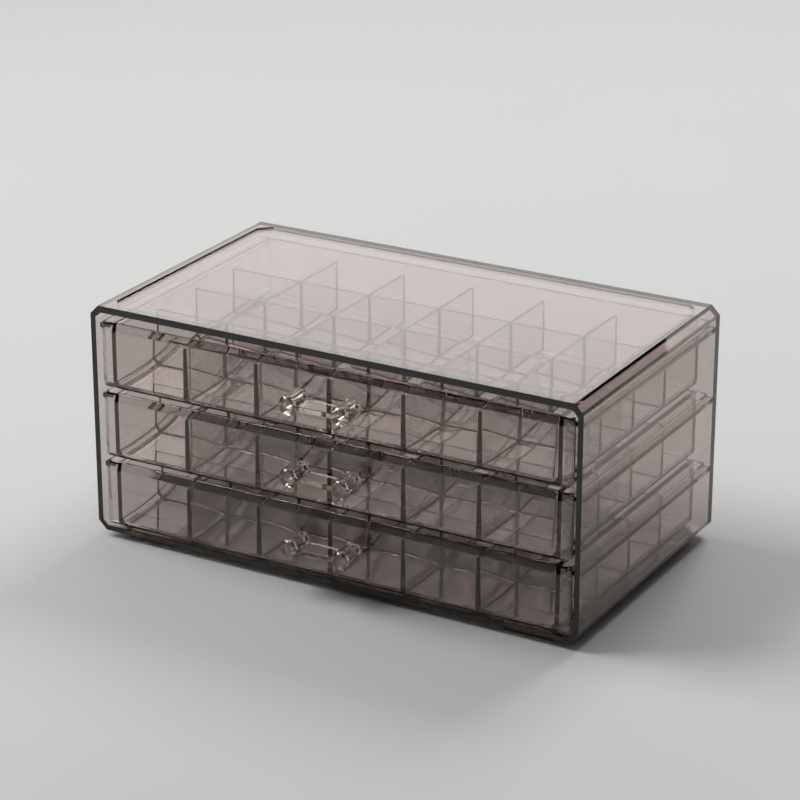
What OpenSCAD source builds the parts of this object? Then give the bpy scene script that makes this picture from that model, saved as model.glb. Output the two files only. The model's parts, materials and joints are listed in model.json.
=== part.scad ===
// Jewellery organizer: an open-fronted casing with three drawers of small compartments.
// Millimetres. X runs across the front, the front faces -Y, Z is up.
// The origin is under the middle of the whole object, handles included.

/* [Casing] */
// Outer width of the casing
casing_w = 235; // [205:1:265]
// Outer depth of the casing, front edge to back face
casing_d = 131; // [110:1:160]
// Cut on the four long edges, measured along each face
edge_cut = 4; // [3:0.5:5]
// Side wall thickness
side_wall = 2.5; // [2:0.1:3]
// Back wall thickness
back_wall = 2.5; // [2:0.1:3.5]
// Floor thickness
floor_t = 2.4; // [2:0.1:3]
// Roof thickness at its rim
roof_t = 3; // [2.5:0.1:4]
// Depth of the stacking recess in the roof
recess_depth = 1; // [0.5:0.1:1.5]
// Flat rim left around the stacking recess
rim_w = 3.6; // [3:0.1:6]
// Corner cut of the stacking recess
recess_cut = 5.5; // [4:0.5:9]

/* [Feet] */
// Height of the feet
foot_h = 3; // [2:0.5:5]
// Length of a foot across the front
foot_w = 28; // [15:1:40]
// Length of a foot front to back
foot_d = 16; // [10:1:30]
// Play between a foot and the recess that it stacks in
stack_play = 0.6; // [0.3:0.1:1.5]

/* [Rails] */
// How far a rail stands out from the side wall
rail_w = 5.6; // [4:0.1:6]
// Rail thickness
rail_t = 2.1; // [1.5:0.1:3]
// Gap between a drawer front's back face and the rail ends
rail_setback = 0.6; // [0.3:0.1:3]

/* [Drawer fronts] */
// Height of a drawer front
front_h = 29.9; // [26:0.1:40]
// Thickness of a drawer front
front_t = 3; // [2.5:0.1:4]
// Bevel around the drawer front, measured along its face
bevel_w = 3.2; // [2:0.1:4]
// Bevel around the drawer front, measured along its edge
bevel_d = 1.8; // [1:0.1:2.3]
// Gap between a drawer front's end and the side wall
front_side_gap = 2; // [1.5:0.1:3]
// Upright gap between neighbouring drawer fronts
front_gap = 2.4; // [1.5:0.1:4]
// Gap under the lowest drawer front
under_gap = 0.5; // [0.4:0.1:2]
// Gap between the highest drawer front and the roof
head_gap = 4.2; // [2:0.1:8]

/* [Trays] */
// Tray wall thickness
tray_wall = 1.9; // [1.4:0.1:2.5]
// Tray floor thickness
tray_floor = 1.2; // [1:0.1:2.5]
// Cut on the tray's two lower edges, measured along each face
tray_cut = 1.5; // [0.8:0.1:2]
// Space between a tray's side and the side wall
side_space = 7.3; // [6.6:0.1:9]
// Gap behind a tray
back_gap = 0.6; // [0.4:0.1:5]
// Sloped strip along the foot of each tray side
side_slope = 2.5; // [1:0.1:4]
// How far a flange stands out from the tray's side
flange_w = 4.9; // [4:0.1:5.5]
// Flange thickness
flange_t = 1.7; // [1.2:0.1:2.5]

/* [Dividers] */
// Compartments across a drawer
column_count = 6; // [3:1:9]
// Compartments front to back in a drawer
row_count = 4; // [2:1:6]
// Height of the front's top over the dividers
divider_drop = 5.2; // [3:0.1:10]
// Divider thickness at the foot
divider_foot_t = 2.5; // [1.7:0.1:2.8]
// Divider thickness at the top
divider_top_t = 1.5; // [1:0.1:1.6]
// Play on each side of a divider where two cross
lap_play = 0.1; // [0.05:0.01:0.3]

/* [Handles] */
// Distance between the two posts
post_spacing = 25; // [20:0.5:40]
// Post width across its flats
post_af = 8; // [7:0.1:10]
// Post length
post_l = 12; // [9:0.5:20]
// Bevel on a post's front end
post_cut = 0.8; // [0.3:0.1:1.2]
// Diameter of the bore in a post
bore_d = 3.8; // [3:0.1:4.5]
// Solid length between a bore's end and the post's front end
bore_end_t = 3; // [2:0.1:4]
// Play around a peg in its bore
peg_play = 0.1; // [0.05:0.01:0.25]
// Gap between a peg's end and its bore's end
peg_end_gap = 0.5; // [0.3:0.1:1]
// Thickness of the web between the posts
web_t = 2.3; // [1.5:0.1:3.5]
// Drop of the web's middle under the posts' axes
web_drop = 0.8; // [0:0.1:1.5]
// Gap between the web and the drawer front
web_back_gap = 1; // [0.5:0.1:3]
// Set-back of the web from the posts' front ends
web_setback = 2; // [1:0.1:4]

/* [Hidden] */

smoke = [0.36, 0.33, 0.31, 0.5];
clear = [0.8, 0.79, 0.77, 0.4];

drawer_names = ["bottom", "middle", "top"];
drawer_count = len(drawer_names);
drawer_pitch = front_h + front_gap;
casing_h = floor_t + under_gap + drawer_count * front_h + (drawer_count - 1) * front_gap + head_gap + roof_t;
front_y = (post_l - casing_d) / 2;
inner_hw = casing_w / 2 - side_wall;
// The walls keep their thickness round the cut edges
inner_cut = edge_cut - (2 - sqrt(2)) * side_wall;
inner_back_y = casing_d - back_wall;

recess_hw = casing_w / 2 - edge_cut - rim_w;
recess_front_y = rim_w;
recess_back_y = casing_d - rim_w;
foot_hw = recess_hw - stack_play;
foot_front_y = recess_front_y + stack_play;
foot_back_y = recess_back_y - stack_play;

front_hw = inner_hw - front_side_gap;
// The front's corners are cut less than the opening behind them
front_cut_share = 0.6;
front_corner_cut = front_cut_share * inner_cut;
tray_hw = inner_hw - side_space;
tray_in_hw = tray_hw - tray_wall;
tray_back_y = inner_back_y - back_gap;
tray_in_back_y = tray_back_y - tray_wall;
tray_in_d = tray_in_back_y - front_t;
flange_z = front_h - flange_t;
divider_h = front_h - divider_drop - tray_floor;
bore_l = post_l - bore_end_t;
peg_l = bore_l - peg_end_gap;
handle_z = front_h / 2;
// Overhang of a cutting solid past the face it cuts
over = 1;

// Height of a drawer front's lower edge
function drawer_z(drawer) =
    foot_h + floor_t + under_gap + search([drawer], drawer_names)[0] * drawer_pitch;
function column_x(i) = -tray_in_hw + 2 * tray_in_hw * i / column_count;
function row_y(i) = front_t + tray_in_d * i / row_count;
// Divider thickness at a height over its foot
function divider_t(z) = divider_foot_t + (divider_top_t - divider_foot_t) * z / divider_h;

// Rectangle about the upright axis with its corners cut
function cut_rectangle(hw, low, high, cut) = [
    [-hw + cut, low], [hw - cut, low], [hw, low + cut], [hw, high - cut],
    [hw - cut, high], [-hw + cut, high], [-hw, high - cut], [-hw, low + cut]
];

// Outline in X and Z carried back from y0 to y1
module along_y(y0, y1) {
    translate([0, y1, 0]) rotate([90, 0, 0]) linear_extrude(y1 - y0) children();
}

// Outline in Y and Z carried across from x0 to x1
module along_x(x0, x1) {
    translate([x0, 0, 0]) rotate([90, 0, 90]) linear_extrude(x1 - x0) children();
}

module casing() {
    color(smoke) translate([0, front_y, foot_h]) difference() {
        along_y(0, casing_d) polygon(cut_rectangle(casing_w / 2, 0, casing_h, edge_cut));
        along_y(-over, inner_back_y) polygon(cut_rectangle(inner_hw, floor_t, casing_h - roof_t, inner_cut));
        translate([0, 0, casing_h - recess_depth]) linear_extrude(recess_depth + over)
            polygon(cut_rectangle(recess_hw, recess_front_y, recess_back_y, recess_cut));
    }
}

// A pair of rails under each drawer's flanges
module drawer_rails() {
    rail_y = front_t + rail_setback;
    color(smoke) translate([0, front_y, 0])
        for (drawer = drawer_names, side = [0, 1]) mirror([side, 0, 0])
            translate([inner_hw - rail_w, rail_y, drawer_z(drawer) + flange_z - rail_t])
                cube([rail_w, inner_back_y - rail_y, rail_t]);
}

// Four pads that fit inside the recess of another organizer
module corner_feet() {
    color(smoke) translate([0, front_y, 0]) linear_extrude(foot_h) intersection() {
        polygon(cut_rectangle(foot_hw, foot_front_y, foot_back_y, recess_cut));
        for (side = [0, 1], end_y = [foot_front_y, foot_back_y - foot_d]) mirror([side, 0])
            translate([foot_hw - foot_w, end_y]) square([foot_w, foot_d]);
    }
}

// Bevelled slab with two pegs for the handle
module drawer_front(drawer) {
    color(smoke) translate([0, front_y, drawer_z(drawer)]) {
        intersection() {
            along_y(0, front_t) polygon(cut_rectangle(front_hw, 0, front_h, front_corner_cut));
            linear_extrude(front_h) polygon([
                [-front_hw, front_t], [-front_hw, bevel_d], [-front_hw + bevel_w, 0],
                [front_hw - bevel_w, 0], [front_hw, bevel_d], [front_hw, front_t]
            ]);
            along_x(-front_hw, front_hw) polygon([
                [front_t, 0], [front_t, front_h], [bevel_d, front_h],
                [0, front_h - bevel_w], [0, bevel_w], [bevel_d, 0]
            ]);
        }
        for (side = [-1, 1]) translate([side * post_spacing / 2, over, handle_z]) rotate([90, 0, 0])
            cylinder(h = peg_l + over, d = bore_d - 2 * peg_play);
    }
}

// Floor, back wall and two flanged sides
module drawer_tray(drawer) {
    right_half = [
        [tray_hw - tray_cut, 0], [tray_hw, tray_cut], [tray_hw, flange_z], [tray_hw + flange_w, flange_z],
        [tray_hw + flange_w, front_h], [tray_in_hw, front_h],
        [tray_in_hw, tray_floor + side_slope], [tray_in_hw - side_slope, tray_floor]
    ];
    left_half = [for (i = [len(right_half) - 1 : -1 : 0]) [-right_half[i][0], right_half[i][1]]];
    color(smoke) translate([0, front_y, drawer_z(drawer)]) {
        along_y(front_t, tray_back_y) polygon(concat(right_half, left_half));
        translate([-tray_hw, tray_in_back_y, tray_cut])
            cube([2 * tray_hw, tray_wall, front_h - tray_cut]);
    }
}

// Half of a lap joint: a slot as wide as the divider that crosses there
module lap_slot(z0, z1) {
    slot_t = divider_t(max(z0, 0)) + 2 * lap_play;
    translate([-slot_t / 2, z0]) square([slot_t, z1 - z0]);
}

// Outline of a divider across its length
module divider_section() {
    polygon([
        [-divider_foot_t / 2, 0], [divider_foot_t / 2, 0],
        [divider_top_t / 2, divider_h], [-divider_top_t / 2, divider_h]
    ]);
}

// Dividers that run front to back, slotted from above
module long_dividers(drawer) {
    color(smoke) translate([0, front_y, drawer_z(drawer) + tray_floor]) difference() {
        for (i = [1 : column_count - 1]) translate([column_x(i), 0, 0])
            along_y(front_t, tray_in_back_y) divider_section();
        for (i = [1 : row_count - 1]) translate([0, row_y(i), 0])
            along_x(-tray_in_hw, tray_in_hw) lap_slot(divider_h / 2, divider_h + over);
    }
}

// Dividers that run side to side, slotted from below
module cross_dividers(drawer) {
    color(smoke) translate([0, front_y, drawer_z(drawer) + tray_floor]) difference() {
        intersection() {
            for (i = [1 : row_count - 1]) translate([0, row_y(i), 0])
                along_x(-tray_in_hw, tray_in_hw) divider_section();
            along_y(front_t, tray_in_back_y) polygon([
                [-tray_in_hw + side_slope, 0], [tray_in_hw - side_slope, 0], [tray_in_hw, side_slope],
                [tray_in_hw, divider_h], [-tray_in_hw, divider_h], [-tray_in_hw, side_slope]
            ]);
        }
        for (i = [1 : column_count - 1]) translate([column_x(i), 0, 0])
            along_y(front_t, tray_in_back_y) lap_slot(-over, divider_h / 2);
    }
}

// Two bored six-sided posts with a flat web between them
module drawer_handle(drawer) {
    end_r = post_af / 2 - post_cut;
    web_l = post_l - web_back_gap - web_setback;
    color(clear) translate([0, front_y, drawer_z(drawer) + handle_z]) difference() {
        union() {
            for (side = [-1, 1]) translate([side * post_spacing / 2, 0, 0]) rotate([90, 0, 0])
                intersection() {
                    cylinder(h = post_l, d = post_af / cos(30), $fn = 6);
                    cylinder(h = post_l, r1 = end_r + post_l, r2 = end_r);
                }
            translate([-post_spacing / 2, -web_back_gap - web_l, -web_drop - web_t / 2])
                cube([post_spacing, web_l, web_t]);
        }
        for (side = [-1, 1]) translate([side * post_spacing / 2, over, 0]) rotate([90, 0, 0])
            cylinder(h = bore_l + over, d = bore_d);
    }
}

casing();
drawer_rails();
corner_feet();
drawer_front("top");  // top_drawer_front
drawer_tray("top");  // top_drawer_tray
long_dividers("top");  // top_drawer_long_dividers
cross_dividers("top");  // top_drawer_cross_dividers
drawer_handle("top");  // top_drawer_handle
drawer_front("middle");  // middle_drawer_front
drawer_tray("middle");  // middle_drawer_tray
long_dividers("middle");  // middle_drawer_long_dividers
cross_dividers("middle");  // middle_drawer_cross_dividers
drawer_handle("middle");  // middle_drawer_handle
drawer_front("bottom");  // bottom_drawer_front
drawer_tray("bottom");  // bottom_drawer_tray
long_dividers("bottom");  // bottom_drawer_long_dividers
cross_dividers("bottom");  // bottom_drawer_cross_dividers
drawer_handle("bottom");  // bottom_drawer_handle
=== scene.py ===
"""Dresses the jewellery organizer: a smoke-grey casing, three compartment drawers and clear handles."""

import json
import math

import bmesh
import bpy
from bpy.props import FloatProperty, FloatVectorProperty, IntProperty, PointerProperty
from bpy.types import Operator, Panel, PropertyGroup
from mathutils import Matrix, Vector

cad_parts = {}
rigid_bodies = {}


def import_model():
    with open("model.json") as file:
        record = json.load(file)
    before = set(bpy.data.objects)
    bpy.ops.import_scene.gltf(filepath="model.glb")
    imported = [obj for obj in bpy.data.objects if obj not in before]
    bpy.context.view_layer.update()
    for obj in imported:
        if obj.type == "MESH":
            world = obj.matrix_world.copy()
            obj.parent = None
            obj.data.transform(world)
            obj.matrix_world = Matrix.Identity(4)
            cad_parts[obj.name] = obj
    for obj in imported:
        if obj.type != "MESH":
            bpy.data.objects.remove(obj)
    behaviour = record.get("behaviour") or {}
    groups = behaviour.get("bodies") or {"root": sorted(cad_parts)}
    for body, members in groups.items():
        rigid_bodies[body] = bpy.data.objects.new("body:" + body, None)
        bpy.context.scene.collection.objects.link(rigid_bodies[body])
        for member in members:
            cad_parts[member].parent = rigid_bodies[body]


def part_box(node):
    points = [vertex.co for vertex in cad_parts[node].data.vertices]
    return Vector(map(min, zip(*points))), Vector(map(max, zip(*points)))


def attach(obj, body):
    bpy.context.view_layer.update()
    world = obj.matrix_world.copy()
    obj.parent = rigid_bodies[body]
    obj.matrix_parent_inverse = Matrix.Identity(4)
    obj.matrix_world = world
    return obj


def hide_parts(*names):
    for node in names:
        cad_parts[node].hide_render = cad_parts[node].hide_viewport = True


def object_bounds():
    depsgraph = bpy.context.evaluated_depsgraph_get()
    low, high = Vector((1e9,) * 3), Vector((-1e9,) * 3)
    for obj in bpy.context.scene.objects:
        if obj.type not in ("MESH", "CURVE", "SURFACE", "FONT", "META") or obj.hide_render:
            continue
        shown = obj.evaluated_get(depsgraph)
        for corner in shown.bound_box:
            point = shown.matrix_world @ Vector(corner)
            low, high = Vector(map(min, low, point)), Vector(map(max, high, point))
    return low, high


bl_info = {
    "name": "Jewellery organizer",
    "version": (1, 0, 0),
    "blender": (4, 5, 0),
    "location": "3D View > Sidebar > Organizer",
    "description": "Builds a clear plastic jewellery organizer with three compartment drawers",
    "category": "Object",
}

for leftover in list(bpy.data.objects):
    bpy.data.objects.remove(leftover)
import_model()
CAD_BOX = [list(corner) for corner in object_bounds()]

MM = 0.001
DRAWERS = ("top", "middle", "bottom")
# Sides of a round rod and of a handle's post
ROUND_SIDES = 48
POST_SIDES = 6
CASING_LOW, CASING_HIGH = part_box("casing")
FEET_LOW, FEET_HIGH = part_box("corner_feet")
FRONT_LOW, FRONT_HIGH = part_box("bottom_drawer_front")
TRAY_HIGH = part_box("bottom_drawer_tray")[1]
DRAWER_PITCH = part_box("middle_drawer_front")[0].z - FRONT_LOW.z


# Settings that a user would change

def length(name, description, default):
    """A size in metres whose default is given in millimetres"""
    return FloatProperty(name=name, description=description, default=default * MM, min=0.0,
                         unit="LENGTH", subtype="DISTANCE", precision=4)


def colour(name, description, default):
    """A plain linear colour"""
    return FloatVectorProperty(name=name, description=description, default=default, min=0.0, max=1.0,
                               size=3, subtype="COLOR")


def absorption(name, plastic_name, default):
    """How strongly a plastic darkens what is seen through it"""
    return FloatProperty(name=name, description=f"Absorption for each metre of {plastic_name} plastic",
                         default=default, min=0.0)


class CasingSizes(PropertyGroup):
    """Sizes of the casing with its rails and feet"""

    edge_cut: length("Edge cut", "Cut on the four long edges, along each face", 4)
    side_wall: length("Side wall", "Side wall thickness", 2.5)
    back_wall: length("Back wall", "Back wall thickness", 2.5)
    floor: length("Floor", "Floor thickness", 2.4)
    roof: length("Roof", "Roof thickness at its rim", 3)
    recess_depth: length("Recess depth", "Depth of the stacking recess in the roof", 1)
    rim: length("Rim", "Flat rim left around the stacking recess", 3.6)
    recess_cut: length("Recess cut", "Corner cut of the stacking recess and of the feet", 5.5)
    rail_width: length("Rail width", "How far a rail stands out from the side wall", 5.6)
    rail_height: length("Rail height", "Rail thickness", 2.1)
    rail_setback: length("Rail set-back", "Gap between a drawer front and the rail ends", 0.6)
    foot_width: length("Foot width", "Length of a foot across the front", 28)
    foot_depth: length("Foot depth", "Length of a foot front to back", 16)
    rounding: length("Rounding", "Radius that moulding leaves on each edge", 0.15)


class DrawerSizes(PropertyGroup):
    """Sizes of one drawer: its front, tray and dividers"""

    front_thickness: length("Front thickness", "Thickness of the drawer front", 3)
    bevel_width: length("Bevel width", "Bevel around the drawer front, along its face", 3.2)
    bevel_depth: length("Bevel depth", "Bevel around the drawer front, along its edge", 1.8)
    corner_cut: length("Corner cut", "Cut on the four corners of the drawer front", 1.5)
    tray_wall: length("Tray wall", "Tray wall thickness", 1.9)
    tray_floor: length("Tray floor", "Tray floor thickness", 1.2)
    tray_cut: length("Tray cut", "Cut on the tray's two lower edges, along each face", 1.5)
    side_slope: length("Side slope", "Sloped strip along the foot of each tray side", 2.5)
    flange_width: length("Flange width", "How far a flange stands out from the tray's side", 4.9)
    flange_height: length("Flange height", "Flange thickness", 1.7)
    columns: IntProperty(name="Columns", description="Compartments across the drawer", default=6, min=2)
    rows: IntProperty(name="Rows", description="Compartments front to back", default=4, min=2)
    divider_drop: length("Divider drop", "Height of the front's top over the dividers", 5.2)
    divider_foot: length("Divider foot", "Divider thickness at the foot", 2.5)
    divider_top: length("Divider top", "Divider thickness at the top", 1.5)
    rounding: length("Rounding", "Radius that moulding leaves on each edge", 0.18)


class HandleSizes(PropertyGroup):
    """Sizes of one handle and of the pegs that it sits on"""

    post_spacing: length("Post spacing", "Distance between the two posts", 25)
    post_flats: length("Post flats", "Post width across its flats", 8)
    post_length: length("Post length", "Post length", 12)
    post_cut: length("Post cut", "Bevel on a post's front end", 0.8)
    bore: length("Bore", "Diameter of the bore in a post", 3.8)
    bore_end: length("Bore end", "Solid length between a bore and the post's front end", 3)
    peg_play: length("Peg play", "Play around a peg in its bore", 0.1)
    peg_gap: length("Peg gap", "Gap between a peg's end and its bore's end", 0.5)
    web_height: length("Web height", "Thickness of the web between the posts", 2.3)
    web_drop: length("Web drop", "Drop of the web's middle under the posts' axes", 0.8)
    web_gap: length("Web gap", "Gap between the web and the drawer front", 1)
    web_setback: length("Web set-back", "Set-back of the web from the posts' front ends", 2)
    rounding: length("Rounding", "Radius that moulding leaves on each edge", 0.2)


class PlasticFinish(PropertyGroup):
    """Colour and depth of the plastics"""

    smoke_colour: colour("Smoke colour", "Colour that the smoke plastic lets through", (0.28, 0.09, 0.0))
    casing_density: absorption("Casing density", "casing", 140.0)
    drawer_density: absorption("Drawer density", "drawer", 58.0)
    clear_colour: colour("Clear colour", "Colour that the clear plastic lets through", (0.2, 0.1, 0.0))
    clear_density: absorption("Clear density", "clear", 60.0)
    refraction: FloatProperty(name="Refraction", description="Refractive index of the plastic",
                              default=1.59, min=1.0)


class StageSettings(PropertyGroup):
    """Floor, light and camera"""

    floor_colour: colour("Floor colour", "Colour of the pale floor", (0.55, 0.55, 0.54))
    surround: FloatProperty(name="Surround", description="Strength of the even light all round",
                            default=0.03, min=0.0)
    azimuth: FloatProperty(name="Azimuth", description="Camera's turn to the right of the front",
                           default=math.radians(29.63), subtype="ANGLE")
    elevation: FloatProperty(name="Elevation", description="Camera's height over the horizon",
                             default=math.radians(21.8), subtype="ANGLE")
    distance: length("Distance", "From the camera to the point that it looks at", 1272.5)
    target_height: length("Target height", "Height of the point that the camera looks at", 66)
    lens: FloatProperty(name="Lens", description="Focal length on a 36 mm sensor, in millimetres",
                        default=133.1)


# Meshes

# Corners nearer than this are one corner
SAME_CORNER = 0.001 * MM
# Faces that turn less than this are one flat face, in a hull and in a finished solid
HULL_FLAT = math.radians(1)
SOLID_FLAT = math.radians(0.5)
# Edges that turn more than this are rounded, in this many steps
ROUNDED_TURN = math.radians(25)
ROUNDING_STEPS = 2
# Edges that turn more than this stay sharp in the shading
SHARP_TURN = math.radians(10)


def new_piece(name, bm):
    """An object at the origin from a finished bmesh"""
    mesh = bpy.data.meshes.new(name)
    bm.to_mesh(mesh)
    bm.free()
    piece = bpy.data.objects.new(name, mesh)
    bpy.context.scene.collection.objects.link(piece)
    return piece


def prism(outline, axis, low, high):
    """Closed solid of an outline carried along an axis from low to high"""
    bm = bmesh.new()
    slot = "XYZ".index(axis)
    ends = []
    for along in (low, high):
        points = [(*point[:slot], along, *point[slot:]) for point in outline]
        ends.append([bm.verts.new(point) for point in points])
    for end in ends:
        bm.faces.new(end)
    for i in range(len(outline)):
        following = (i + 1) % len(outline)
        bm.faces.new((ends[0][i], ends[0][following], ends[1][following], ends[1][i]))
    bmesh.ops.recalc_face_normals(bm, faces=bm.faces)
    return new_piece("solid", bm)


def block(low, high):
    """Closed box between two corners"""
    outline = [(low[0], low[1]), (high[0], low[1]), (high[0], high[1]), (low[0], high[1])]
    return prism(outline, "Z", low[2], high[2])


def rod(x, z, radius, low, high, sides):
    """Closed rod along Y; a post's rod has a flat side up"""
    start = math.pi / sides if sides == POST_SIDES else 0.0
    turns = [start + 2 * math.pi * i / sides for i in range(sides)]
    outline = [(x + radius * math.sin(turn), z + radius * math.cos(turn)) for turn in turns]
    return prism(outline, "Y", low, high)


def hull(points):
    """Closed convex solid around points"""
    bm = bmesh.new()
    verts = [bm.verts.new(point) for point in points]
    bmesh.ops.convex_hull(bm, input=verts)
    bmesh.ops.dissolve_limit(bm, angle_limit=HULL_FLAT, verts=bm.verts, edges=bm.edges)
    bmesh.ops.recalc_face_normals(bm, faces=bm.faces)
    return new_piece("solid", bm)


def cut_rectangle(half_width, low, high, cut):
    """Rectangle about the upright axis with its four corners cut"""
    return [(-half_width + cut, low), (half_width - cut, low), (half_width, low + cut),
            (half_width, high - cut), (half_width - cut, high), (-half_width + cut, high),
            (-half_width, high - cut), (-half_width, low + cut)]


def keep_result(piece):
    """Makes what the piece's modifiers show its own plain mesh"""
    bpy.context.view_layer.update()
    evaluated = piece.evaluated_get(bpy.context.evaluated_depsgraph_get())
    mesh = bpy.data.meshes.new_from_object(evaluated)
    before = piece.data
    piece.modifiers.clear()
    piece.data = mesh
    bpy.data.meshes.remove(before)


def combine(piece, operation, others):
    """Joins other solids to the piece, or cuts or clips it with them, and removes them"""
    for other in others:
        boolean = piece.modifiers.new(operation.title(), "BOOLEAN")
        boolean.operation = operation
        boolean.solver = "EXACT"
        boolean.object = other
    keep_result(piece)
    for other in others:
        bpy.data.objects.remove(other)
    return piece


def round_edges(piece, radius):
    """Merges flat faces that share a plane, then rounds every edge as moulding does"""
    bm = bmesh.new()
    bm.from_mesh(piece.data)
    bmesh.ops.remove_doubles(bm, verts=bm.verts, dist=SAME_CORNER)
    bmesh.ops.dissolve_limit(bm, angle_limit=SOLID_FLAT, verts=bm.verts, edges=bm.edges)
    bm.to_mesh(piece.data)
    bm.free()
    bevel = piece.modifiers.new("Rounding", "BEVEL")
    bevel.width = radius
    bevel.segments = ROUNDING_STEPS
    bevel.limit_method = "ANGLE"
    bevel.angle_limit = ROUNDED_TURN
    keep_result(piece)


def smooth(piece):
    """Shades small turns as one surface and keeps the corners sharp"""
    piece.data.shade_smooth()
    piece.data.set_sharp_from_angle(angle=SHARP_TURN)


# Node trees

class Value:
    """A node's output that takes part in arithmetic, which adds Math nodes to its tree"""

    def __init__(self, graph, socket):
        self.graph = graph
        self.socket = socket

    def maths(self, operation, first, second):
        """A Math node's output"""
        return self.graph.node("ShaderNodeMath", {"operation": operation}, {0: first, 1: second})

    def __add__(self, other):
        return self.maths("ADD", self, other)

    def __sub__(self, other):
        return self.maths("SUBTRACT", self, other)

    def __mul__(self, other):
        return self.maths("MULTIPLY", self, other)

    def __truediv__(self, other):
        return self.maths("DIVIDE", self, other)

    def __gt__(self, other):
        return self.maths("GREATER_THAN", self, other)


class Graph:
    """A node tree that is filled one node at a time"""

    def __init__(self, tree):
        self.tree = tree
        tree.nodes.clear()

    def node(self, kind, settings=None, values=None, output=0):
        """Adds a node, sets it, fills or links its inputs and returns one of its outputs"""
        node = self.tree.nodes.new(kind)
        for name, setting in (settings or {}).items():
            setattr(node, name, setting)
        for name, given in (values or {}).items():
            for value in given if isinstance(given, list) else [given]:
                if isinstance(value, Value):
                    self.tree.links.new(value.socket, node.inputs[name])
                else:
                    node.inputs[name].default_value = value
        return Value(self, node.outputs[output]) if node.outputs else None

    def vector(self, x, y, z):
        """A vector from three values"""
        return self.node("ShaderNodeCombineXYZ", values={"X": x, "Y": y, "Z": z})


def geometry_graph(name, sizes):
    """A Geometry Nodes tree with named inputs; returns its graph and its inputs by name"""
    tree = bpy.data.node_groups.new(name, "GeometryNodeTree")
    tree.interface.new_socket("Geometry", in_out="INPUT", socket_type="NodeSocketGeometry")
    for size, kind in sizes.items():
        tree.interface.new_socket(size, in_out="INPUT", socket_type=kind)
    tree.interface.new_socket("Geometry", in_out="OUTPUT", socket_type="NodeSocketGeometry")
    graph = Graph(tree)
    entry = tree.nodes.new("NodeGroupInput")
    return graph, {socket.name: Value(graph, socket) for socket in entry.outputs if socket.name}


def fuse_and_finish(graph, solids, material):
    """Ends a tree: the solids become one solid with its material"""
    fused = graph.node("GeometryNodeMeshBoolean", {"operation": "UNION", "solver": "EXACT"}, {1: solids})
    real = graph.node("GeometryNodeRealizeInstances", values={"Geometry": fused})
    finished = graph.node("GeometryNodeSetMaterial", values={"Geometry": real, "Material": material})
    graph.node("NodeGroupOutput", values={"Geometry": finished})


def grow(piece, graph, sizes):
    """Runs a Geometry Nodes tree on the piece and keeps the result as its mesh"""
    modifier = piece.modifiers.new(graph.tree.name, "NODES")
    modifier.node_group = graph.tree
    for item in graph.tree.interface.items_tree:
        if item.in_out == "INPUT" and item.name in sizes:
            modifier[item.identifier] = sizes[item.name]
    keep_result(piece)


LENGTH = "NodeSocketFloat"
COUNT = "NodeSocketInt"


def rail_tree(material):
    """A pair of rails for each drawer, fused to the casing's side walls"""
    graph, size = geometry_graph("Drawer rails", {
        "Drawers": COUNT, "Pitch": LENGTH, "First height": LENGTH, "Wall": LENGTH, "Front end": LENGTH,
        "Back end": LENGTH, "Width": LENGTH, "Height": LENGTH, "Root": LENGTH,
    })
    run = size["Back end"] - size["Front end"]
    rail = graph.node("GeometryNodeMeshCube", values={
        "Size": graph.vector(size["Width"] + size["Root"], run, size["Height"])})
    solids = [size["Geometry"]]
    for side in (-1, 1):
        reach = size["Wall"] - size["Width"] / 2 + size["Root"] / 2
        start = graph.vector(reach * side, size["Front end"] + run / 2, size["First height"])
        places = graph.node("GeometryNodeMeshLine", values={
            "Count": size["Drawers"], "Start Location": start, "Offset": graph.vector(0, 0, size["Pitch"])})
        solids.append(graph.node("GeometryNodeInstanceOnPoints", values={
            "Points": places, "Instance": rail}))
    fuse_and_finish(graph, solids, material)
    return graph


def tapered_strip(graph, size, across, run, height):
    """A strip that is thinner at its top; across says which way its thickness lies"""
    foot = size["Foot"] + (size["Foot"] - size["Top"]) * size["Root"] / size["Height"]
    thin = size["Top"] / foot
    lying = (foot, run) if across == "X" else (run, foot)
    narrowing = (thin, 1.0) if across == "X" else (1.0, thin)
    strip = graph.node("GeometryNodeMeshCube", values={"Size": graph.vector(*lying, height)})
    place = graph.node("GeometryNodeInputPosition")
    upper = graph.node("ShaderNodeSeparateXYZ", values={"Vector": place}, output="Z") > 0.0
    narrowed = graph.node("ShaderNodeVectorMath", {"operation": "MULTIPLY"},
                          {0: place, 1: graph.vector(*narrowing, 1.0)})
    return graph.node("GeometryNodeSetPosition", values={
        "Geometry": strip, "Selection": upper, "Position": narrowed})


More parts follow.
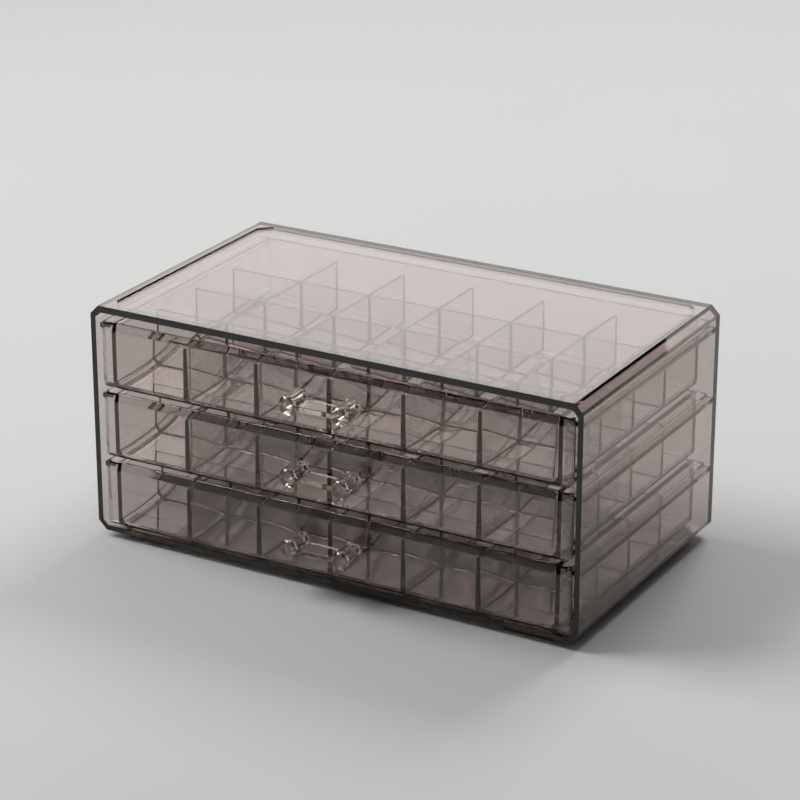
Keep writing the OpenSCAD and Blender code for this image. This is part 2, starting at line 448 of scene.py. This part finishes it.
def divider_tree(material):
    """A lattice of tapered dividers, fused to the drawer that they stand in"""
    graph, size = geometry_graph("Divider lattice", {
        "Columns": COUNT, "Rows": COUNT, "Half width": LENGTH, "Front": LENGTH, "Back": LENGTH,
        "Floor": LENGTH, "Height": LENGTH, "Foot": LENGTH, "Top": LENGTH, "Root": LENGTH,
    })
    depth = size["Back"] - size["Front"]
    width = size["Half width"] * 2.0
    height = size["Height"] + size["Root"]
    middle_z = size["Floor"] - size["Root"] + height / 2.0
    long_strip = tapered_strip(graph, size, "X", depth + size["Root"] * 2.0, height)
    cross_strip = tapered_strip(graph, size, "Y", width + size["Root"] * 2.0, height)
    column = width / size["Columns"]
    row = depth / size["Rows"]
    columns = graph.node("GeometryNodeMeshLine", values={
        "Count": size["Columns"] - 1.0,
        "Start Location": graph.vector(column - size["Half width"], size["Front"] + depth / 2.0, middle_z),
        "Offset": graph.vector(column, 0.0, 0.0)})
    rows = graph.node("GeometryNodeMeshLine", values={
        "Count": size["Rows"] - 1.0,
        "Start Location": graph.vector(0.0, size["Front"] + row, middle_z),
        "Offset": graph.vector(0.0, row, 0.0)})
    strips = [graph.node("GeometryNodeInstanceOnPoints", values={"Points": places, "Instance": strip})
              for places, strip in ((columns, long_strip), (rows, cross_strip))]
    fuse_and_finish(graph, [size["Geometry"], *strips], material)
    return graph


# Finishes

# Coarseness of the ripple in the plastic and its depth
RIPPLE_SCALE = 60.0
RIPPLE_DEPTH = 0.006 * MM
# Coarseness of the haze on the plastic and the most that it roughens the surface
HAZE_SCALE = 160.0
HAZE_ROUGHNESS = 0.01
# Coarseness of the floor's mottle and how far it darkens the paint
MOTTLE_SCALE = 6.0
MOTTLE_SHADE = 0.97
PAINT_ROUGHNESS = 0.6


def plastic(name, transmitted, density, refraction):
    """Clear moulded plastic: tinted through its depth, with a faint ripple and handling haze"""
    material = bpy.data.materials.get(name)
    if material:
        return material
    material = bpy.data.materials.new(name)
    material.use_nodes = True
    graph = Graph(material.node_tree)
    place = graph.node("ShaderNodeTexCoord", output="Object")
    ripple = graph.node("ShaderNodeTexNoise", values={
        "Vector": place, "Scale": RIPPLE_SCALE, "Detail": 1.0})
    haze = graph.node("ShaderNodeTexNoise", values={
        "Vector": place, "Scale": HAZE_SCALE, "Detail": 4.0})
    bump = graph.node("ShaderNodeBump", values={
        "Height": ripple, "Strength": 1.0, "Distance": RIPPLE_DEPTH})
    surface = graph.node("ShaderNodeBsdfPrincipled", values={
        "Base Color": (1.0, 1.0, 1.0, 1.0), "Roughness": haze * HAZE_ROUGHNESS, "IOR": refraction,
        "Transmission Weight": 1.0, "Normal": bump})
    volume = graph.node("ShaderNodeVolumeAbsorption", values={
        "Color": (*transmitted, 1.0), "Density": density})
    graph.node("ShaderNodeOutputMaterial", values={"Surface": surface, "Volume": volume})
    return material


def casing_plastic():
    """Smoke-grey plastic of the casing"""
    finish = bpy.context.scene.organizer_finish
    return plastic("smoke_grey_moulding", finish.smoke_colour, finish.casing_density, finish.refraction)


def drawer_plastic():
    """Paler smoke-grey plastic of the drawers"""
    finish = bpy.context.scene.organizer_finish
    return plastic("pale_smoke_moulding", finish.smoke_colour, finish.drawer_density, finish.refraction)


def clear_plastic():
    """Clear plastic of the handles"""
    finish = bpy.context.scene.organizer_finish
    return plastic("clear_moulding", finish.clear_colour, finish.clear_density, finish.refraction)


def floor_paint(floor_colour):
    """Matt pale paint with a faint mottle"""
    material = bpy.data.materials.new("pale_floor")
    material.use_nodes = True
    graph = Graph(material.node_tree)
    place = graph.node("ShaderNodeTexCoord", output="Object")
    mottle = graph.node("ShaderNodeTexNoise", values={
        "Vector": place, "Scale": MOTTLE_SCALE, "Detail": 3.0})
    shaded = [MOTTLE_SHADE * part for part in floor_colour]
    paint = graph.node("ShaderNodeMix", {"data_type": "RGBA"}, {
        0: mottle, 6: (*floor_colour, 1.0), 7: (*shaded, 1.0)}, output=2)
    surface = graph.node("ShaderNodeBsdfPrincipled", values={
        "Base Color": paint, "Roughness": PAINT_ROUGHNESS})
    graph.node("ShaderNodeOutputMaterial", values={"Surface": surface})
    return material


def dress(piece, name, body, material, nodes):
    """Names a finished piece, gives it its plastic and sets it on the body that carries it"""
    smooth(piece)
    piece.name = name
    piece.data.name = name
    piece.data.materials.clear()
    piece.data.materials.append(material)
    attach(piece, body)
    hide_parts(*nodes)


# Operators

# Solids that are fused reach this far into each other
ROOT = 0.4 * MM
# Air left between two pieces whose faces would meet
AIR = 0.1 * MM
# A cutting solid reaches this far past the face that it cuts
OVER = 1 * MM


def drawer_top(base):
    """Height of the top of the drawer whose underside is at base"""
    return base + FRONT_HIGH.z - FRONT_LOW.z


class ORGANIZER_OT_casing(Operator):
    """Builds the casing with its roof recess, drawer rails and corner feet as one moulding"""

    bl_idname = "organizer.casing"
    bl_label = "Casing"

    def execute(self, context):
        size = context.scene.organizer_casing
        drawer = context.scene.organizer_drawer
        half_width = CASING_HIGH.x
        inner_half_width = half_width - size.side_wall
        inner_cut = size.edge_cut - (2 - math.sqrt(2)) * size.side_wall
        front, back = CASING_LOW.y, CASING_HIGH.y
        inner_back = back - size.back_wall
        outline = cut_rectangle(half_width, CASING_LOW.z, CASING_HIGH.z, size.edge_cut)
        shell = prism(outline, "Y", front, back)
        inner_low, inner_high = CASING_LOW.z + size.floor, CASING_HIGH.z - size.roof
        inner_outline = cut_rectangle(inner_half_width, inner_low, inner_high, inner_cut)
        cavity = prism(inner_outline, "Y", front - OVER, inner_back)
        recess_half_width = half_width - size.edge_cut - size.rim
        recess = prism(
            cut_rectangle(recess_half_width, front + size.rim, back - size.rim, size.recess_cut),
            "Z", CASING_HIGH.z - size.recess_depth, CASING_HIGH.z + OVER)
        combine(shell, "DIFFERENCE", [cavity, recess])
        combine(shell, "UNION", self.feet(size))
        flange_foot = FRONT_HIGH.z - drawer.flange_height
        grow(shell, rail_tree(casing_plastic()), {
            "Drawers": len(DRAWERS), "Pitch": DRAWER_PITCH,
            "First height": flange_foot - AIR - size.rail_height / 2, "Wall": inner_half_width,
            "Front end": front + drawer.front_thickness + size.rail_setback, "Back end": inner_back + ROOT,
            "Width": size.rail_width, "Height": size.rail_height, "Root": ROOT})
        round_edges(shell, size.rounding)
        dress(shell, "casing_moulding", "casing", casing_plastic(),
              ["casing", "drawer_rails", "corner_feet"])
        return {"FINISHED"}

    def feet(self, size):
        """Four pads with their outer corners cut"""
        low, high = FEET_LOW, FEET_HIGH
        outline = cut_rectangle(high.x, low.y, high.y, size.recess_cut)
        pads = []
        for side in (-1, 1):
            for end_low, end_high in ((low.y, low.y + size.foot_depth), (high.y - size.foot_depth, high.y)):
                pad = prism(outline, "Z", low.z, high.z + ROOT)
                inner, outer = sorted((side * (high.x - size.foot_width), side * (high.x + OVER)))
                reach = block((inner, end_low, low.z - OVER), (outer, end_high, high.z + OVER))
                pads.append(combine(pad, "INTERSECT", [reach]))
        return pads


class ORGANIZER_OT_drawers(Operator):
    """Builds the three drawers, each front, tray, flanges and dividers as one moulding"""

    bl_idname = "organizer.drawers"
    bl_label = "Drawers"

    def execute(self, context):
        size = context.scene.organizer_drawer
        handle = context.scene.organizer_handle
        lattice = divider_tree(drawer_plastic())
        for drawer in DRAWERS:
            nodes = [f"{drawer}_drawer_{part}"
                     for part in ("front", "tray", "long_dividers", "cross_dividers")]
            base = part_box(nodes[0])[0].z
            moulding = self.tray(size, base)
            combine(moulding, "UNION", [self.front(size, base)])
            floor_top = base + size.tray_floor
            top = drawer_top(base)
            grow(moulding, lattice, {
                "Columns": size.columns, "Rows": size.rows, "Half width": self.inner_half_width(size),
                "Front": CASING_LOW.y + size.front_thickness, "Back": TRAY_HIGH.y - size.tray_wall,
                "Floor": floor_top, "Height": top - size.divider_drop - floor_top,
                "Foot": size.divider_foot, "Top": size.divider_top, "Root": ROOT})
            round_edges(moulding, size.rounding)
            combine(moulding, "UNION", self.pegs(size, handle, base))
            dress(moulding, f"{drawer}_drawer_moulding", f"{drawer}_drawer", drawer_plastic(),
                  nodes)
        return {"FINISHED"}

    def inner_half_width(self, size):
        """Half the width between the tray's two sides"""
        return TRAY_HIGH.x - size.flange_width - size.tray_wall

    def front(self, size, base):
        """Slab bevelled to a smaller face, with its corners cut"""
        face = CASING_LOW.y
        top = drawer_top(base)
        half_width = FRONT_HIGH.x
        corner_inset = size.corner_cut / 2
        corner_depth = size.bevel_depth * (1 - corner_inset / size.bevel_width)
        points = []
        for inset, depth in ((size.bevel_width, 0.0), (corner_inset, corner_depth)):
            points += [(side * (half_width - inset), face + depth, z)
                       for side in (-1, 1) for z in (base + inset, top - inset)]
        for depth in (size.bevel_depth, size.front_thickness):
            points += [(x, face + depth, z)
                       for x, z in cut_rectangle(half_width, base, top, size.corner_cut)]
        return hull(points)

    def tray(self, size, base):
        """Floor, back wall and two flanged sides with a sloped foot"""
        outer = TRAY_HIGH.x - size.flange_width
        inner = self.inner_half_width(size)
        floor_top = base + size.tray_floor
        top = drawer_top(base)
        flange_foot = top - size.flange_height
        half = [(outer - size.tray_cut, base), (outer, base + size.tray_cut), (outer, flange_foot),
                (TRAY_HIGH.x, flange_foot), (TRAY_HIGH.x, top), (inner, top),
                (inner, floor_top + size.side_slope), (inner - size.side_slope, floor_top)]
        outline = half + [(-x, z) for x, z in reversed(half)]
        sides = prism(outline, "Y", CASING_LOW.y + size.front_thickness, TRAY_HIGH.y)
        back = block((-inner, TRAY_HIGH.y - size.tray_wall, floor_top - ROOT), (inner, TRAY_HIGH.y, top))
        return combine(sides, "UNION", [back])

    def pegs(self, size, handle, base):
        """Two round pegs that the handle's posts sit on"""
        middle = base + (FRONT_HIGH.z - FRONT_LOW.z) / 2
        reach = handle.post_length - handle.bore_end - handle.peg_gap
        radius = handle.bore / 2 - handle.peg_play
        return [rod(side * handle.post_spacing / 2, middle, radius, CASING_LOW.y - reach,
                    CASING_LOW.y + size.front_thickness / 2, ROUND_SIDES) for side in (-1, 1)]


class ORGANIZER_OT_handles(Operator):
    """Builds a clear handle on each drawer front: two six-sided posts joined by a flat web"""

    bl_idname = "organizer.handles"
    bl_label = "Handles"

    def execute(self, context):
        size = context.scene.organizer_handle
        for drawer in DRAWERS:
            low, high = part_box(f"{drawer}_drawer_handle")
            middle = (low.z + high.z) / 2
            handle = self.web(size, middle, low.y, high.y)
            axes = [side * size.post_spacing / 2 for side in (-1, 1)]
            posts = [self.post(size, x, middle, low.y, high.y) for x in axes]
            combine(handle, "UNION", posts)
            bores = [rod(x, middle, size.bore / 2, low.y + size.bore_end, high.y + OVER, ROUND_SIDES)
                     for x in axes]
            combine(handle, "DIFFERENCE", bores)
            round_edges(handle, size.rounding)
            dress(handle, f"{drawer}_drawer_clear_handle", f"{drawer}_drawer", clear_plastic(),
                  [f"{drawer}_drawer_handle"])
        return {"FINISHED"}

    def post(self, size, x, middle, front, back):
        """Six-sided post whose front end is turned to a bevel"""
        corner = size.post_flats / 2 / math.cos(math.pi / POST_SIDES)
        post = rod(x, middle, corner, front, back - AIR, POST_SIDES)
        end_radius = size.post_flats / 2 - size.post_cut
        turns = [2 * math.pi * i / ROUND_SIDES for i in range(ROUND_SIDES)]
        cone = []
        for along, radius in ((front, end_radius), (back, end_radius + back - front)):
            cone += [(x + radius * math.cos(turn), along, middle + radius * math.sin(turn))
                     for turn in turns]
        return combine(post, "INTERSECT", [hull(cone)])

    def web(self, size, middle, front, back):
        """Flat bar between the posts' axes, a little under them"""
        half_height = size.web_height / 2
        return block(
            (-size.post_spacing / 2, front + size.web_setback, middle - size.web_drop - half_height),
            (size.post_spacing / 2, back - size.web_gap, middle - size.web_drop + half_height))


# Where the lamps point, and each softbox's place, width and height in metres and power in watts
LAMP_TARGET = Vector((0.0, 0.0, 50 * MM))
SOFTBOXES = {
    "back_softbox": ((-0.5, 2.0, 0.78), (4.4, 0.7), 13.5),
    "key_softbox": ((-1.2, -0.35, 1.5), (1.1, 1.1), 32.0),
    "rim_softbox": ((0.1, 1.15, 1.35), (0.65, 0.65), 12.0),
    "top_softbox": ((0.15, 0.35, 1.9), (2.2, 2.2), 8.0),
}
# Turns that light may take, enough to pass through every wall of the drawers
LIGHT_BOUNCES = 40
MIRROR_BOUNCES = 16
# The floor reaches this far each way, in this many squares
FLOOR_REACH = 6.0
FLOOR_SQUARES = 8
# The camera's sensor in millimetres, and how far to the right and back of the origin it aims
SENSOR = 36.0
AIM_RIGHT = 0.7 * MM
AIM_BACK = 0.5 * MM


class ORGANIZER_OT_stage(Operator):
    """Sets the pale floor, the soft lights and the camera"""

    bl_idname = "organizer.stage"
    bl_label = "Stage"

    def execute(self, context):
        scene = context.scene
        stage = scene.organizer_stage
        self.floor(stage)
        self.world(scene, stage)
        for name, (place, size, power) in SOFTBOXES.items():
            self.softbox(name, place, size, power)
        self.camera(scene, stage)
        scene.view_settings.view_transform = "Standard"
        scene.cycles.max_bounces = LIGHT_BOUNCES
        scene.cycles.transmission_bounces = LIGHT_BOUNCES
        scene.cycles.glossy_bounces = MIRROR_BOUNCES
        scene.cycles.transparent_max_bounces = LIGHT_BOUNCES
        return {"FINISHED"}

    def floor(self, stage):
        """Plain pale floor just under the feet"""
        bm = bmesh.new()
        bmesh.ops.create_grid(bm, x_segments=FLOOR_SQUARES, y_segments=FLOOR_SQUARES, size=FLOOR_REACH)
        floor = new_piece("studio_floor", bm)
        floor.location.z = CAD_BOX[0][2] - AIR
        floor.data.materials.append(floor_paint(stage.floor_colour))

    def world(self, scene, stage):
        """Dim even light from all round"""
        world = bpy.data.worlds.new("studio_surround")
        world.use_nodes = True
        graph = Graph(world.node_tree)
        even = graph.node("ShaderNodeBackground", values={
            "Color": (1.0, 1.0, 1.0, 1.0), "Strength": stage.surround})
        graph.node("ShaderNodeOutputWorld", values={"Surface": even})
        scene.world = world

    def softbox(self, name, place, size, power):
        """Soft lamp with a flat face turned to the lamps' target"""
        light = bpy.data.lights.new(name, "AREA")
        light.shape = "RECTANGLE"
        light.size, light.size_y = size
        light.energy = power
        lamp = bpy.data.objects.new(name, light)
        lamp.location = place
        lamp.rotation_euler = (LAMP_TARGET - Vector(place)).to_track_quat("-Z", "Y").to_euler()
        lamp.visible_camera = False
        bpy.context.scene.collection.objects.link(lamp)

    def camera(self, scene, stage):
        """Camera at the photograph's viewing angle"""
        optics = bpy.data.cameras.new("studio_camera")
        optics.sensor_fit = "HORIZONTAL"
        optics.sensor_width = SENSOR
        optics.lens = stage.lens
        camera = bpy.data.objects.new("studio_camera", optics)
        target = Vector((AIM_RIGHT, AIM_BACK, stage.target_height))
        flat = stage.distance * math.cos(stage.elevation)
        camera.location = target + Vector((flat * math.sin(stage.azimuth), -flat * math.cos(stage.azimuth),
                                           stage.distance * math.sin(stage.elevation)))
        camera.rotation_euler = (target - camera.location).to_track_quat("-Z", "Y").to_euler()
        scene.collection.objects.link(camera)
        scene.camera = camera


class ORGANIZER_PT_sidebar(Panel):
    """Lists the operators in the 3D view's sidebar"""

    bl_idname = "ORGANIZER_PT_sidebar"
    bl_label = "Jewellery organizer"
    bl_space_type = "VIEW_3D"
    bl_region_type = "UI"
    bl_category = "Organizer"

    def draw(self, context):
        for operator in OPERATORS:
            self.layout.operator(operator.bl_idname)
        for group in SETTINGS:
            settings = getattr(context.scene, group)
            box = self.layout.box()
            for name in settings.__annotations__:
                box.prop(settings, name)


SETTINGS = {
    "organizer_casing": CasingSizes,
    "organizer_drawer": DrawerSizes,
    "organizer_handle": HandleSizes,
    "organizer_finish": PlasticFinish,
    "organizer_stage": StageSettings,
}
OPERATORS = (ORGANIZER_OT_casing, ORGANIZER_OT_drawers, ORGANIZER_OT_handles, ORGANIZER_OT_stage)


def register():
    for group in SETTINGS.values():
        bpy.utils.register_class(group)
    for name, group in SETTINGS.items():
        setattr(bpy.types.Scene, name, PointerProperty(type=group))
    for operator in OPERATORS:
        bpy.utils.register_class(operator)
    bpy.utils.register_class(ORGANIZER_PT_sidebar)


def unregister():
    bpy.utils.unregister_class(ORGANIZER_PT_sidebar)
    for operator in reversed(OPERATORS):
        bpy.utils.unregister_class(operator)
    for name in SETTINGS:
        delattr(bpy.types.Scene, name)
    for group in reversed(list(SETTINGS.values())):
        bpy.utils.unregister_class(group)


def main():
    register()
    bpy.ops.organizer.casing()
    bpy.ops.organizer.drawers()
    bpy.ops.organizer.handles()
    bpy.ops.organizer.stage()


if __name__ == "__main__":
    main()
